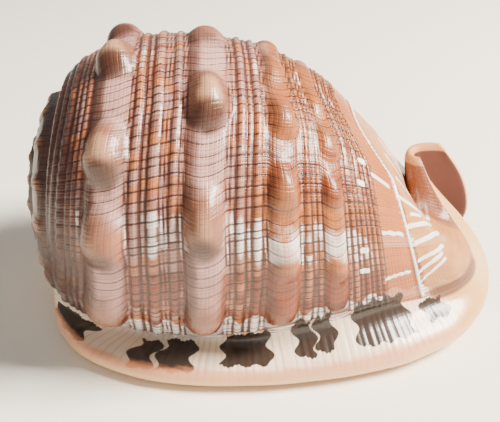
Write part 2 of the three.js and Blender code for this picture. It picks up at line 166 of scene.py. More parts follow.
def mouthPoints(along, body, nearGroove, farGroove):
    upward, yAxis = upwardOf(body[7]), np.array([0, 1.0, 0])
    lip, shield = rowAt(lipRows, along), rowAt(shieldRows, along)
    lipThick, shieldThick = rowAt(lipThickRows, along)[0], rowAt(shieldThickRows, along)[0]
    mouthX, mouthY, mouthWidth, mouthZ, endY, endZ = rowAt(mouthRows, along)
    lipRim = np.array([mouthX, mouthY, mouthZ])
    columellaRim = lipRim + yAxis * mouthWidth
    end = np.array([mouthX * 0.9 + body[0] * 0.1, endY, endZ])
    shieldUnder = mix(shield, columellaRim, 0.33)
    shieldUnder[2] = shield[2] * 0.2 - 0.8
    columellaFace, lipFace = mix(shield, columellaRim, 0.72), mix(lip, lipRim, 0.62)
    columellaFace[2] = lipFace[2] = shellForm["flat"]
    points = {
        "shieldTop": mix(farGroove, shield, 0.5),
        "shieldEdgeTop": shield + toward(shield, farGroove) * shieldThick * 0.4 + upward * shieldThick * 0.5,
        "shieldEdgeLow": shield - upward * shieldThick * 0.6 - yAxis * shieldThick * 0.4,
        "shieldUnder": shieldUnder,
        "columellaFace": columellaFace,
        "columellaRim": columellaRim,
        "slotColumella": mix(columellaRim, end, 0.5) + yAxis * 3,
        "slotEndFar": end + yAxis * mouthWidth * 0.55,
        "slotEndNear": end - yAxis * mouthWidth * 0.55,
        "slotLip": mix(lipRim, end, 0.5) - yAxis * 3,
        "lipRim": lipRim,
        "lipFace": lipFace,
        "lipEdgeLow": lip - upward * lipThick * 0.5 + yAxis * lipThick * 0.45,
        "lipEdgeTop": lip + toward(lip, nearGroove) * lipThick * 0.25 + upward * lipThick * 0.42,
        "lipTop": mix(nearGroove, lip, 0.5) + upward * lipThick * 0.25,
    }
    return points, lip, shield, lipThick, shieldThick


def canalPoints(body, swell, rims, nearGroove):
    points, lip, shield, lipThick, shieldThick = rims
    yAxis = np.array([0, 1.0, 0])
    canal = dict(points)
    canal["shieldEdgeTop"] = shield + yAxis * shieldThick * 0.45
    canal["shieldEdgeLow"] = shield - yAxis * shieldThick * 0.45
    canal["lipTop"] = mix(nearGroove, lip, 0.5)
    canal["lipEdgeLow"] = lip + yAxis * lipThick * 0.4
    canal["lipEdgeTop"] = lip - yAxis * lipThick * 0.4
    for i, name in enumerate(innerNames):
        share = i / (len(innerNames) - 1)
        point = sectionPoint(body, mix(body[9], body[8], share), swell, shellForm["wall"])
        if i == 0:
            point = mix(point, shield, 0.55)
        if i == len(innerNames) - 1:
            point = mix(point, lip, 0.55)
        canal[name] = point
    return canal


def station(along):
    body = rowAt(bodyRows, along)
    nearAngle, farAngle = body[8:]
    step = (farAngle - nearAngle) / domeEnd
    swell = 3 / (2 + math.cos(math.radians(step)))
    loop = [sectionPoint(body, nearAngle + j * step, swell) for j in range(domeCount)]
    nearGroove, farGroove = sectionPoint(body, nearAngle), sectionPoint(body, farAngle)
    rims = mouthPoints(along, body, nearGroove, farGroove)
    canal = canalPoints(body, swell, rims, nearGroove)
    opened, rimmed = smooth(170, 206, along), smooth(36, 50, along)
    gap = (360 - farAngle + nearAngle) / (len(rimNames) + 1)
    for i, name in enumerate(rimNames):
        roundPoint = sectionPoint(body, farAngle + gap * (i + 1), swell, 0, 2.1)
        loop.append(mix(roundPoint, mix(rims[0][name], canal[name], opened), rimmed))
    return np.array(loop)


stationCount = shellForm["backLength"] // shellForm["stationStep"] + 1
net = np.array([station(i * shellForm["stationStep"]) for i in range(stationCount)])
paddedNet = np.concatenate([[2 * net[0] - net[1]], net, [2 * net[-1] - net[-2]]])


def splineWeights(f):
    g = 1 - f
    return np.array([g ** 3, 3 * f ** 3 - 6 * f ** 2 + 4, 3 * g ** 3 - 6 * g ** 2 + 4, f ** 3]) / 6


def skin(alongs, loops):
    u = np.clip(alongs / shellForm["stationStep"], 0, stationCount - 1 - 1e-6)
    t = np.mod(loops, loopCount)
    i, j = np.floor(u).astype(int), np.floor(t).astype(int)
    stationWeights, loopWeights = splineWeights(u - i), splineWeights(t - j)
    rows = sum(stationWeights[p][:, None, None] * paddedNet[i + p] for p in range(4))
    return sum(loopWeights[q][None, :, None] * rows[:, (j + q - 1) % loopCount] for q in range(4))


def partner(loops):
    t = np.mod(loops, loopCount)
    inner = (t >= shieldMid) & (t <= lipMid)
    share = np.where(inner, (lipMid - t) / innerSpan, np.mod(t - lipMid, loopCount) / outerSpan)
    return np.where(inner, lipMid + outerSpan * share, lipMid - innerSpan * share)


def rimmedSkin(alongs, loops):
    intoRim = (alongs - shellForm["backLength"]) / shellForm["rimRound"] + 1
    share = np.clip(intoRim, 0, 1) * shellForm["rimThin"]
    thinned = ((1 - np.sqrt(1 - share ** 2)) / 2)[:, None, None]
    return mix(skin(alongs, loops), skin(alongs, partner(loops)), thinned)


def skinNormals(alongs, loops):
    small = 0.15    # mm along the back, and a tenth of it in loop places
    down = skin(alongs + small, loops) - skin(np.maximum(alongs - small, 0), loops)
    around = skin(alongs, loops + small / 10) - skin(alongs, loops - small / 10)
    normals = np.cross(down, around)
    lengths = np.linalg.norm(normals, axis=2, keepdims=True)
    return np.where(lengths > 1e-9, normals / np.maximum(lengths, 1e-9), np.array([-1.0, 0, 0]))


# Raised spiral bands, each with the angle and height of its knobs; 0 is the lip side and 90 is up.
# "lowered" is how far above the lip a band's round end starts to sink, in mm
bands = [
    {"centre": 65.2, "width": 12.5, "lowered": 14, "rise": 2.0, "long": 9.5, "broad": 7.8,
     "knobs": [[-24, 3.5], [9, 4.5], [37, 5.5], [77, 5.6], [112, 5.2], [146, 5], [180, 4.4], [210, 3]]},
    {"centre": 94.3, "width": 12.5, "lowered": 13, "rise": 2.2, "long": 10, "broad": 7.8,
     "knobs": [[-20, 3], [17, 4.8], [57, 5.8], [95, 3.4], [136, 4.4], [174, 4.4], [208, 3]]},
    {"centre": 117.6, "width": 10.2, "lowered": 8, "rise": 1.9, "long": 7.5, "broad": 6,
     "knobs": [[-17, 2], [6, 2.6], [30, 3.2], [56, 3], [80, 1.6], [106, 1.8], [132, 2.2], [158, 2.4],
               [184, 2.2], [208, 2]]},
    {"centre": 134.2, "width": 7.8, "lowered": 7, "rise": 1.5, "long": 6, "broad": 4.6,
     "knobs": [[3, 1.9], [33, 1.9], [52, 1.4], [70, 1], [118, 1], [142, 1.2], [166, 1.4], [190, 1.4]]},
]
bandShape = {
    "topShare": 0.4,        # of a band's rise, over the back; the rest is only near the lip
    "lipEnd": [4, 8],       # mm above the lip, where the first part of a band's height ends
    "lipEndShare": 0.55,    # the other part ends at the band's round end
    "mmPerRadian": 50,      # round the shell, for the knobs
    "knobTail": 1.25,       # how much longer a knob is on the side away from the lip
    "steepPower": 1.05, "flatPower": 1.5,   # of a knob's slope on the lip side and on the other
    "knobFull": 5,          # height of a knob that gets its full colour
    "shadowBack": 0.65,       # how far towards the lip the painted shadow under a knob lies, as a share of its length
    "shadowSize": 5,
    "lineSag": 1.9,         # of the growth lines in the middle of a band, in mm
    "patchLength": 9,       # mm along a band from one change of its colour to the next
}

# Cords between the bands: place, width, rise, and how much they are beaded
cords = [
    [43.6, 2.8, 0.7, 0.6], [47.2, 2.6, 0.6, 0.3], [50.4, 3.4, 0.9, 0.9], [53.4, 1.7, 0.5, 0.3],
    [55.4, 1.7, 0.5, 0.3], [57.4, 1.7, 0.5, 0.3],
    [71.6, 1.2, 0.4, 0.2], [73.9, 3.0, 1.0, 0.5], [76.6, 1.3, 0.5, 0.3], [79.5, 3.9, 1.3, 0.9],
    [82.0, 1.1, 0.5, 0.3], [83.2, 1.0, 0.4, 0.3], [85.3, 2.8, 1.0, 0.8], [87.4, 1.1, 0.4, 0.2],
    [100.9, 1.2, 0.4, 0.3], [102.3, 1.3, 0.4, 0.3], [104.7, 2.9, 1.0, 0.8], [107.2, 1.3, 0.5, 0.3],
    [109.8, 3.0, 1.0, 0.8], [112, 1.0, 0.4, 0.2],
    [123.3, 1.2, 0.4, 0.3], [125.4, 2.6, 0.8, 0.6], [127.6, 1.2, 0.4, 0.3], [129.3, 1.6, 0.5, 0.5],
    [139, 1.3, 0.5, 0.5], [141.2, 1.9, 0.6, 0.8], [143.3, 1.3, 0.4, 0.6], [145.3, 1.9, 0.6, 0.8],
    [147.4, 1.3, 0.4, 0.6], [149.3, 1.7, 0.6, 0.8], [151.3, 1.5, 0.5, 0.5],
]
beadLength = 4.4            # mm along a cord
thinRidge = {"centre": 164.3, "width": 1.7, "rise": 0.8}    # white, before the smooth front
loopStep = 26               # mm from one point of the loop over the back to the next

# How far the bands and cords lie towards the canal at each angle round the shell, and how much more they
# lean back towards the apex over the top of the front part
courseRows = np.array([
    [-50, -2.4], [-28, -1.6], [-5, 0], [20, 0.6], [55, 2.2], [80, 1.5], [100, 0], [225, -2],
])
frontLean = 14


def ridge(offset, width, sharpness=0.75):
    return np.maximum(0, np.cos(np.pi * np.clip(offset / width, -0.5, 0.5))) ** sharpness


def hump(x, low, high, edge):
    return smooth(low - edge, low + edge, x) * (1 - smooth(high - edge, high + edge, x))


def courseOf(along, angle):
    aside = np.interp(angle, courseRows[:, 0], courseRows[:, 1])
    lean = frontLean * np.maximum(0, (along - 105) / 45) ** 1.5 * smooth(50, 85, angle)
    return along - aside * (1 - 0.8 * smooth(115, 135, along)) + lean


# Where each point of the skin is: round the body in degrees, along it, and over the rims
def findPlaces(alongs, loops):
    along = np.broadcast_to(alongs[:, None], (len(alongs), len(loops)))
    loop = np.broadcast_to(loops[None], along.shape)
    nearAngle = np.interp(along, bodyRows[:, 0], bodyRows[:, 9])
    farAngle = np.interp(along, bodyRows[:, 0], bodyRows[:, 10])
    angle = nearAngle + loop / domeEnd * (farAngle - nearAngle)
    return {
        "along": along, "loop": loop, "angle": angle, "course": courseOf(along, angle),
        "fromLip": loop * loopStep, "fromShield": (domeEnd - loop) * loopStep,
        "lipway": -loop / (loopCount - lipMid), "shieldway": (loop - domeEnd) / (shieldMid - domeEnd),
        "onDome": (loop >= 0) & (loop <= domeEnd),
    }


firstBandNumber = 40    # past the number of the last cord
noLobe = 20.0           # stands for a place outside the bands, and is more than any distance to a band's end


def bandForms(at):
    shape = bandShape
    names = ("rise", "crest", "bandness", "knob", "knobShadow", "flankShade", "bend")
    facts = {name: np.zeros_like(at["along"]) for name in names}
    facts["lobe"] = np.full_like(at["along"], noLobe)
    facts["cordNumber"] = np.zeros_like(at["along"])
    for number, band in enumerate(bands):
        offset = at["course"] - band["centre"]
        inBand = np.abs(offset) < band["width"] / 2
        across = np.clip(2 * offset / band["width"], -1, 1)
        lobe = np.minimum(at["fromLip"] - band["lowered"] - 3 * across ** 2 - 4 * across ** 4,
                          at["fromShield"] - 3 - 4 * across ** 2)
        ended = mix(smooth(-0.5, 2, lobe), smooth(*shape["lipEnd"], at["fromLip"]), shape["lipEndShare"])
        share = mix(1, shape["topShare"], smooth(5, 45, at["angle"]))
        form = (1 - across ** 4) * inBand
        highest, underShadow = np.zeros_like(offset), np.zeros_like(offset)
        for knobAngle, height in band["knobs"]:
            around = np.radians(at["angle"] - knobAngle) * shape["mmPerRadian"]
            lipSide = around < 0
            room = 1 - (around / np.where(lipSide, band["long"], band["long"] * shape["knobTail"])) ** 2
            room = np.maximum(0, room - (offset / band["broad"]) ** 2)
            power = np.where(lipSide, shape["steepPower"], shape["flatPower"])
            highest = np.maximum(highest, height * room ** power)
            # painted shadow under each knob, on its lip side
            behind = (around + band["long"] * shape["shadowBack"]) / shape["shadowSize"]
            shadowPlace = np.hypot(behind, offset / (band["broad"] * 0.8))
            underShadow = np.maximum(underShadow, (1 - smooth(0, 1.5, shadowPlace)) * height / shape["knobFull"])
        facts["rise"] += (band["rise"] * share * form + highest) * ended
        facts["crest"] = np.maximum(facts["crest"], smooth(0, 0.35, form) * ended)
        facts["bandness"] = np.maximum(facts["bandness"], form ** 0.5 * ended)
        facts["knob"] = np.maximum(facts["knob"], highest / shape["knobFull"] * ended)
        facts["knobShadow"] = np.maximum(facts["knobShadow"], underShadow)
        # painted shade on the band's side towards the apex, which faces away from the light
        apexSideShade = smooth(0, 0.7, -across) * inBand * ended * (1 - 0.25 * number)
        facts["flankShade"] = np.maximum(facts["flankShade"], apexSideShade)
        facts["bend"] += shape["lineSag"] * (1 - across ** 2) * inBand
        facts["lobe"] = np.where(inBand, lobe, facts["lobe"])
        facts["cordNumber"] = np.where(inBand, firstBandNumber + number, facts["cordNumber"])
    return facts


def cordForms(at, facts):
    facts["bead"] = at["growth"] / bandShape["patchLength"]
    outside = 1 - smooth(0, 0.2, facts["bandness"])
    for number, (centre, width, height, beaded) in enumerate(cords):
        offset = at["course"] - centre
        form = ridge(offset, width)
        near = np.abs(offset) < width * 0.6
        count = (at["growth"] - 0.3 * (2 * offset / width) ** 2) / beadLength + number * 0.37
        valley = 0.5 + 0.5 * np.cos(count * 2 * np.pi)
        swing = 1 - beaded * 0.5 * valley ** 3
        ended = smooth(0.4, 2.4, at["fromLip"]) * smooth(0.4, 2.4, at["fromShield"])
        facts["rise"] += height * form * swing * ended * outside
        facts["crest"] = np.maximum(facts["crest"], form * outside)
        facts["bead"] = np.where(near & (outside > 0.5), count, facts["bead"])
        facts["cordNumber"] = np.where(near & (outside > 0.5), number, facts["cordNumber"])


# Whorls of the spire: a step at each suture, fine threads and a row of small nodules
spire = {
    "reach": 46,            # mm from the apex to the last suture at the lip
    "spread": 1.7,          # growth of its radius in one turn
    "firstAngle": -50,      # where the last suture meets the lip
    "nodules": 15,          # in one turn
    "noduleRise": 0.03,     # this and the next two as shares of the distance from the apex
    "whorlRise": 0.06,
    "sunk": 0.05,
    "threads": 7,           # on a whorl
    "threadRise": 0.3,
}


def spireForms(at):
    turns = np.log(np.maximum(at["along"], 1) / spire["reach"]) / math.log(spire["spread"])
    turns = turns + (at["angle"] - spire["firstAngle"]) / 360
    inTurn = turns - np.floor(turns)
    whorl = np.sin(np.pi * np.minimum(inTurn / 0.72, 1) * 0.5) * (1 - smooth(0.86, 1, inTurn))
    nodule = ridge(inTurn - 0.7, 0.5) * np.maximum(0, np.cos(np.radians(at["angle"] * spire["nodules"])))
    threads = 0.5 + 0.5 * np.cos(inTurn * 2 * np.pi * spire["threads"])
    rise = at["along"] * (spire["whorlRise"] * whorl + spire["noduleRise"] * nodule - spire["sunk"])
    rise = rise + spire["threadRise"] * threads * smooth(3, 12, at["along"])
    suture = 1 - smooth(0, 0.1, np.minimum(inTurn, 1 - inTurn))
    return rise, suture, nodule


# Teeth inside the lip and folds on the shield's side: from and to along the back, how many, their place in
# the loop, how far they reach along it, and their height
lipTeeth = [66, 156, 20, 20.2, 0.95, 1.9]
shieldFolds = [70, 154, 18, 14.85, 0.75, 1.5]


def toothForms(at, start, end, count, centre, reach, height):
    loop = np.mod(at["loop"], loopCount)
    step = (end - start) / (count - 1)
    wave = (0.5 + 0.5 * np.cos((at["along"] - start) / step * 2 * np.pi)) ** 1.3
    within = smooth(start - 3, start, at["along"]) * (1 - smooth(end, end + 3, at["along"]))
    return height * wave * within * np.maximum(0, 1 - ((loop - centre) / reach) ** 2)


# Dark blotches on the lip: from and to along the back, and how far down the lip they reach
lipBlotches = [
    [50, 62, 0.22, 0.74], [74.5, 80, 0.22, 0.78], [81.5, 90, 0.12, 0.74], [98.5, 112, -0.06, 0.58],
    [120.5, 126, -0.1, 0.52], [127, 132.5, -0.1, 0.46], [139.5, 157, -0.12, 0.52], [162.5, 170, 0.05, 0.42],
]


def lipBlotch(at):
    jag = 0.03 * np.sin(at["along"] * 1.3) + 0.015 * np.sin(at["along"] * 5.3 + 1)
    found = np.zeros_like(at["along"])
    for start, end, top, bottom in lipBlotches:
        ragged = 1.1 * np.sin(at["lipway"] * 17 + start)
        across = hump(at["along"] + ragged, start, end, 0.9)
        found = np.maximum(found, across * hump(at["lipway"] + jag, top, bottom, 0.06))
    return found


# Pale bars across the smooth front: place along the back and angle round it, from and to, and half their
# thickness in mm
paleBars = [
    [169, 60, 213, 53, 0.8], [164, 44, 208, 40, 0.8], [170, 34, 181, 37, 0.6], [165, 24, 190, 33, 0.8],
    [167, 14, 190, 23, 0.8], [166, 2, 184, 10, 0.7], [165, -7, 180, 5, 0.7], [165, -15, 180, 0, 0.6],
    [153, 20, 162.5, 20, 0.7], [151.5, -5.5, 162, -3.5, 0.7], [152.5, 49, 161.5, 46, 0.7],
    [147, 52, 150.5, 52, 1], [145, 41, 148.5, 41, 1], [143, 11, 146.5, 11, 1], [142.5, 1, 146, 1, 1],
    [166, 76, 206, 70, 0.8], [165, 92, 202, 88, 0.7], [166, 110, 200, 108, 0.8], [165, 128, 198, 126, 0.7],
    [166, 146, 196, 146, 0.8], [165, 164, 194, 166, 0.7], [166, 182, 190, 184, 0.8],
    [165, 200, 188, 200, 0.7],
]


def paleBar(at):
    radius = np.maximum(np.interp(at["along"], bodyRows[:, 0], bodyRows[:, 3]), 12)
    found = np.zeros_like(at["along"])
    for start, startAngle, end, endAngle, thickness in paleBars:
        share = np.clip((at["along"] - start) / (end - start), 0, 1)
        middle = mix(startAngle, endAngle, share ** 0.7)
        aside = np.abs(np.radians(at["angle"] - middle)) * radius
        bar = 1 - smooth(0.6, 1.3, aside / thickness)
        found = np.maximum(found, bar * hump(at["along"], start, end, 0.8))
    return found


# Where the sculpture and the paint change, as distances along the back, or as angles round it
zones = {
    "cordsStart": [40, 46], "cordsEnd": [176, 186], "spireEnd": [38, 48],
    "smoothBand": [152.5, 164], "front": [165, 168.5],
    # shade: where the painted shade round the spire fades out towards the canal
    "shade": [48, 66], "warmth": [96, 122],
    "canal": [172, 190], "canalBack": [196, 206], "canalRim": [220.8, 222.6],
    "lipFront": [158, 178], "creaseShadow": [166, 192],
    "paleAngles": [4, 22], "lowPaleAngles": [-28, -16],
    "deepAngles": [-18, 1], "highDeepAngles": [30, 50],
}
smallRises = {"ripple": 0.1, "ribs": 0.1, "strip": 0.5}     # mm
growthWay = {
    "mmPerDegree": 0.87,    # round the back, on average
    "tilt": -0.2,           # of the growth lines across the cords
    "tiltFrom": 95, "tiltTo": 150,
}


# Everything about each point of the skin that the sculpture and the paint use
def describe(alongs, loops):
    at = findPlaces(alongs, loops)
    tilt = growthWay["tilt"] * (np.minimum(at["course"], growthWay["tiltTo"]) - growthWay["tiltFrom"])
    at["growth"] = at["angle"] * growthWay["mmPerDegree"] + tilt
    facts = bandForms(at)
    at["growth"] = at["growth"] + facts["bend"]
    cordForms(at, facts)
    course, angle, along = at["course"], at["angle"], at["along"]
    thin = ridge(course - thinRidge["centre"], thinRidge["width"]) * smooth(0, 2.5, at["fromLip"])
    facts["rise"] += thinRidge["rise"] * thin
    inCords = smooth(*zones["cordsStart"], along) * (1 - smooth(*zones["cordsEnd"], along))
    scallops = smooth(0.3, 1.1, at["fromLip"] - 1.4 * (1 - facts["crest"]))
    strip = scallops * inCords * (1 - smooth(158, 168, course))
    spireRise, suture, nodule = spireForms(at)
    onSpire = 1 - smooth(*zones["spireEnd"], along)
    ripple = np.sin(at["growth"] * 2.1) * np.sin(at["growth"] * 0.43 + along * 0.05)
    ripple = smallRises["ripple"] * ripple * smooth(30, 60, along)
    edges = smooth(0, 1.5, at["fromLip"]) * smooth(0, 9, at["fromShield"])
    domeRise = (facts["rise"] * inCords + spireRise * onSpire + ripple * inCords) * edges
    domeRise = domeRise + smallRises["strip"] * strip
    teeth = toothForms(at, *lipTeeth) + toothForms(at, *shieldFolds)
    ribs = np.sin(along * 2 * np.pi / shellPaint["ribSpacing"] + np.sin(along * 0.9))
    lipRise = smallRises["ribs"] * ribs * hump(at["lipway"], 0.08, 0.75, 0.08)
    lipRise = lipRise * smooth(45, 60, along) * (1 - smooth(160, 175, along))
    height = np.where(at["onDome"], domeRise, lipRise)
    dome = at["onDome"].astype(float)
    loop = np.mod(at["loop"], loopCount)
    inside = smooth(shieldMid + 0.2, shieldMid + 1.2, loop) * (1 - smooth(lipMid - 1.2, lipMid - 0.2, loop))

    # pale zones: beside the lip, then a broken row of patches, and a weaker one every 60 degrees further
    beat = 0.5 + 0.5 * np.cos(np.radians((angle - 14) * 6))
    pale = 0.7 * hump(angle, *zones["paleAngles"], 5) + 0.3 * hump(angle, *zones["lowPaleAngles"], 5)
    pale = pale + 0.45 * beat * smooth(50, 80, angle)
    reach = mix(19, 10, smooth(90, 125, course)) + 2 * np.sin(course * 0.7)
    above = np.where(facts["lobe"] < noLobe, facts["lobe"], (at["fromLip"] - reach) / 3)
    strap = 1 - smooth(-1, 0.8, above)
    pale = pale * (1 - 0.5 * smooth(140, 150, course)) + 2 * strap
    deep = 0.8 * hump(angle, *zones["deepAngles"], 5) + 0.3 * hump(angle, *zones["highDeepAngles"], 12)
    beside = 1 - smooth(3.5, 5, at["fromLip"])
    crest = np.maximum(facts["crest"], np.maximum(smooth(151.5, 153.5, course), beside))
    onLip = smooth(-0.03, 0.03, at["lipway"]) * (loop > mouthEnd)
    return {
        "height": height + teeth, "course": course, "growth": at["growth"], "along": along,
        "crest": np.where(at["onDome"], mix(1, crest, inCords), 1),
        "bandness": facts["bandness"] * dome * inCords,
        "knob": facts["knob"] * dome, "knobShadow": facts["knobShadow"] * dome,
        "flankShade": facts["flankShade"] * dome * inCords,
        "bead": facts["bead"], "cordNumber": facts["cordNumber"],
        "lobeRim": hump(facts["lobe"], 0.5, 5, 2) * dome * inCords,
        "thinRidge": thin * dome * inCords,
        "pale": pale * dome * inCords, "deep": deep * dome * inCords,
        "warmth": mix(0.1, 1, smooth(*zones["warmth"], course + 0.12 * (40 - angle))),
        # painted shade over the spire's end of the shell, away from the light
        "shade": (1 - smooth(*zones["shade"], course + 0.06 * angle)) * dome,
        "suture": suture * onSpire * dome, "nodule": nodule * onSpire * dome,
        "smoothBand": hump(course, *zones["smoothBand"], 1.5) * dome * inCords,
        "front": smooth(*zones["front"], course) * dome, "paleBar": paleBar(at) * dome,
        "strip": (1 - smooth(4.5, 8, at["fromLip"])) * dome * inCords,
        "lip": onLip, "lipway": at["lipway"], "lipFront": onLip * smooth(*zones["lipFront"], along),
        "blotch": lipBlotch(at),
        # painted shadow in the crease between the smooth front and the lip
        "creaseShadow": hump(at["lipway"], -0.12, 0.12, 0.1) * hump(along, *zones["creaseShadow"], 5),
        "shield": smooth(-0.03, 0.05, at["shieldway"]) * (loop < mouthEnd),
        "teeth": np.clip(teeth / 1.2, 0, 1),
        "mouth": smooth(14.4, 15.6, loop) * (1 - smooth(19.6, 20.8, loop)) * smooth(42, 60, along),
        "canal": inside * smooth(*zones["canal"], along),
        "canalBack": dome * smooth(*zones["canalBack"], along),
        "canalRim": smooth(*zones["canalRim"], along),
    }


meshSteps = {
    "spireRows": 26, "bandRows": 226, "canalRows": 36, "rimRows": 7,
    "mouthLipColumns": 26, "lipColumns": 34, "domeColumns": 196, "shieldColumns": 20,
    "mouthShieldColumns": 32,
}


def meshPlaces():
    steps = meshSteps
    back, rim = shellForm["backLength"], shellForm["rimRound"]
    alongs = np.concatenate([
        np.linspace(0, 40, steps["spireRows"], endpoint=False),
        np.linspace(40, 172, steps["bandRows"], endpoint=False),
        np.linspace(172, back - rim, steps["canalRows"], endpoint=False),
        back - rim + rim * np.sin(np.linspace(0, np.pi / 2, steps["rimRows"])),
    ])
    loops = np.concatenate([
        np.linspace(mouthEnd - loopCount, lipMid - loopCount, steps["mouthLipColumns"], endpoint=False),
        np.linspace(lipMid - loopCount, 0, steps["lipColumns"], endpoint=False),
        np.linspace(0, domeEnd, steps["domeColumns"], endpoint=False),
        np.linspace(domeEnd, shieldMid, steps["shieldColumns"], endpoint=False),
        np.linspace(shieldMid, mouthEnd, steps["mouthShieldColumns"] + 1),
    ])
    return alongs, loops


def buildShell():
    alongs, loops = meshPlaces()
    facts = describe(alongs, loops)
    points = rimmedSkin(alongs, loops) + skinNormals(alongs, loops) * facts["height"][..., None]
    points[..., 2] = np.maximum(points[..., 2], 0)
    points[:, -1] = points[:, 0]
    points = points * scale
    low, high = points.reshape(-1, 3).min(0), points.reshape(-1, 3).max(0)
    moved = Vector((cadLow.x - low[0], (cadLow.y + cadHigh.y - low[1] - high[1]) / 2, 0))
    points = points + np.array(moved)

    bm = bmesh.new()
    bmesh.ops.create_grid(bm, x_segments=len(loops) - 1, y_segments=len(alongs) - 1, size=1)
    mesh = bpy.data.meshes.new("shellSkin")
    bm.to_mesh(mesh)
    bm.free()
    flat = np.zeros(len(mesh.vertices) * 3)
    mesh.vertices.foreach_get("co", flat)
    flat = flat.reshape(-1, 3)
    column = np.rint((flat[:, 0] + 1) / 2 * (len(loops) - 1)).astype(int)
    rowNumber = np.rint((flat[:, 1] + 1) / 2 * (len(alongs) - 1)).astype(int)
    mesh.vertices.foreach_set("co", points[rowNumber, column].reshape(-1))
    for name, values in facts.items():
        if name != "height":
            layer = mesh.attributes.new(name, "FLOAT", "POINT")
            layer.data.foreach_set("value", values[rowNumber, column].astype(np.float32))
    bm = bmesh.new()
    bm.from_mesh(mesh)
    bmesh.ops.remove_doubles(bm, verts=bm.verts, dist=2e-6)
    rim = [edge for edge in bm.edges if edge.is_boundary]
    closing = bmesh.ops.holes_fill(bm, edges=rim, sides=0)["faces"]
    bmesh.ops.triangulate(bm, faces=closing)
    bmesh.ops.recalc_face_normals(bm, faces=bm.faces)
    bm.to_mesh(mesh)
    bm.free()
    mesh.polygons.foreach_set("use_smooth", [True] * len(mesh.polygons))
    shell = bpy.data.objects.new("helmet_shell_skin", mesh)
    bpy.context.scene.collection.objects.link(shell)
    print("shell built, open edges closed:", len(rim), "faces:", len(mesh.polygons))
    return shell, moved


def linear(hexColour):
    parts = [int(hexColour[i:i + 2], 16) / 255 for i in (1, 3, 5)]
    return tuple(p / 12.92 if p <= 0.04045 else ((p + 0.055) / 1.055) ** 2.4 for p in parts) + (1.0,)


def addNode(tree, kind, inputs=None, **settings):
    made = tree.nodes.new(kind)
    for name, value in settings.items():
        setattr(made, name, value)
    for key, value in (inputs or {}).items():
        if isinstance(value, bpy.types.NodeSocket):
            tree.links.new(value, made.inputs[key])
        else:
            made.inputs[key].default_value = value
    return made


# Layers of colour on the natural shell's bands and cords, from the first to the last. Each is laid where
# the sum of its facts, each times its weight, passes from "low" to "high"
shellLayers = [
    # orange-brown towards the canal
    {"colour": "#9F5A22", "facts": {"warmth": 1.0, "clouds": 0.5}, "low": 0.45, "high": 1.05, "share": 0.95},
    # salmon between the clouds
    {"colour": "#A35C35", "facts": {"clouds": -1.0, "blocks": 0.5, "warmth": -0.4}, "low": -0.4, "high": -0.1,
     "share": 0.85},
    # red-brown low on the side
    {"colour": "#7C3414", "facts": {"deep": 0.85, "clouds": 0.7, "blocks": 0.4, "warmth": 0.2},
     "low": 0.75, "high": 1.1, "share": 0.9},
    # rose-brown clouds
    {"colour": "#5E352E", "facts": {"clouds": 0.8, "blocks": 0.4, "warmth": -0.5}, "low": 0.45, "high": 0.75,
     "share": 0.75},
    # lighter beads
    {"colour": "#CD8355", "facts": {"blocks": 1.0, "bandness": -1.0}, "low": 0.66, "high": 0.7, "share": 0.6},
    # pinkish bands, fainter on the knobs and in the painted shade round the spire
    {"colour": "#D3A59C",
     "facts": {"bandness": 1.0, "warmth": -0.9, "clouds": 0.6, "knob": -0.5, "shade": -0.5},
     "low": 0.65, "high": 1.2, "share": 0.7},
    # painted shade on the side of a band towards the apex, away from the light
    {"colour": "#4A2B20", "facts": {"flankShade": 1.0, "clouds": 0.8}, "low": 0.5, "high": 1.25, "share": 0.88},
    # white patches, fewer in the painted shade round the spire
    {"colour": "#FAF1ED",
     "facts": {"pale": 0.75, "blocks": 0.5, "clouds": 0.6, "bandness": -0.1, "warmth": 0.1, "crest": 0.3,
               "knob": -0.15, "shade": -0.5},
     "low": 1.24, "high": 1.5, "share": 0.94},
    # orange specks beside the lip
    {"colour": "#E08A22", "facts": {"strip": 0.6, "blocks": 0.5, "warmth": 0.2, "clouds": 0.4},
     "low": 1.12, "high": 1.22, "share": 0.7},
    # brown knobs
    {"colour": "#80523B", "facts": {"knob": 1.0, "clouds": 0.7, "warmth": -0.25}, "low": 0.35, "high": 0.95,
     "share": 0.8},
    # their tan tops
    {"colour": "#C79A78", "facts": {"knob": 1.0, "clouds": 0.7, "warmth": -0.3}, "low": 1.0, "high": 1.4,
     "share": 0.7},
    # painted shadow under the knobs, on their lip side
    {"colour": "#3A1F16", "facts": {"knobShadow": 1.0, "clouds": 0.8, "warmth": -0.3}, "low": 0.5, "high": 1.2,
     "share": 0.85},
    # rim of a band's round end
    {"colour": "#5E240C", "facts": {"lobeRim": 1.0, "clouds": 0.5}, "low": 0.15, "high": 0.8, "share": 0.94},
    # painted shade on the shell round the spire, on the side away from the light
    {"colour": "#2C1712", "facts": {"shade": 1.0, "clouds": 0.6, "blocks": -0.2}, "low": 0.35, "high": 0.95,
     "share": 0.88},
    # nodules of the spire
    {"colour": "#C98F6C", "facts": {"nodule": 1.0, "clouds": 0.4}, "low": 0.4, "high": 1.0, "share": 0.6},
    # sutures of the spire
    {"colour": "#3A1C13", "facts": {"suture": 1.0, "clouds": 0.3}, "low": 0.5, "high": 1.1, "share": 0.8},
    # smooth orange band
    {"colour": "#B3622A", "facts": {"smoothBand": 1.0, "clouds": 0.4}, "low": 0.4, "high": 1.1,
     "share": 0.85},
    # front
    {"colour": "#C08348", "facts": {"front": 1.0}, "low": 0.3, "high": 0.9, "share": 0.9},
    # brown clouds on it
    {"colour": "#9A4F24", "facts": {"front": 0.6, "clouds": 0.9}, "low": 0.95, "high": 1.35, "share": 0.6},
]
